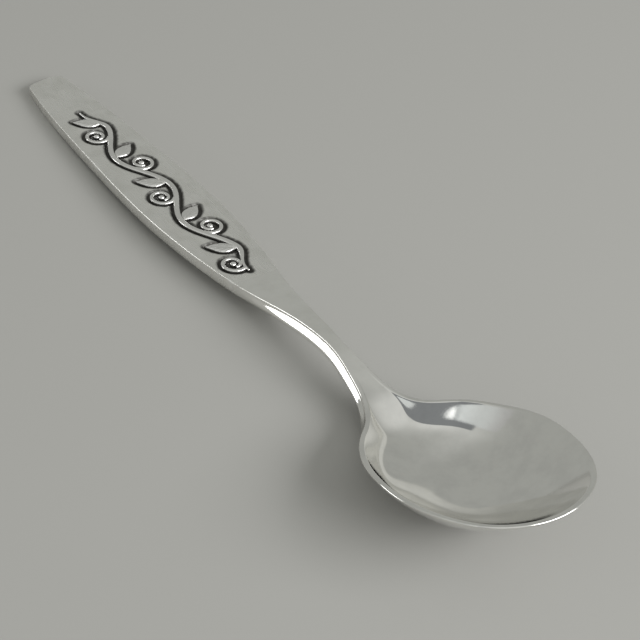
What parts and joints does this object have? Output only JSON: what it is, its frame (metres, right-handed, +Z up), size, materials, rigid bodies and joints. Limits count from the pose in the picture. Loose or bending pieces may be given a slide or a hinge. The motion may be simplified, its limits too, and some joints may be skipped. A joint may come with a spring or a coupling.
{
  "type": "baby spoon",
  "caption": "Small silver feeding spoon: flat tapering blade handle with a vine in relief on a darkened ground, slim rounded neck and an oval bowl.",
  "frame": {"origin": "middle of the spoon's box, on the table it rests on", "axes": "+X from the handle's end to the bowl's tip, +Y across the spoon, +Z up out of the bowl"},
  "size_m": [0.1447, 0.0296, 0.0133],
  "materials": {
    "silver": "polished silver with fine wear, oxidised dark in the sunk ground of the ornament",
    "bowl_silver": "mirror-polished silver with faint use scratches",
    "relief_silver": "bright rubbed silver relief, dark at its foot"
  },
  "bodies": {
    "root": {"handle": "silver", "neck": "silver", "bowl": "bowl_silver", "vine_stem": "relief_silver", "leaf_1": "relief_silver", "leaf_2": "relief_silver", "leaf_3": "relief_silver", "leaf_4": "relief_silver", "leaf_5": "relief_silver", "tendril_1": "relief_silver", "tendril_2": "relief_silver", "tendril_3": "relief_silver", "tendril_4": "relief_silver", "tendril_5": "relief_silver", "berry_1": "relief_silver", "berry_2": "relief_silver", "berry_3": "relief_silver", "berry_4": "relief_silver", "berry_5": "relief_silver"}
  },
  "joints": []
}
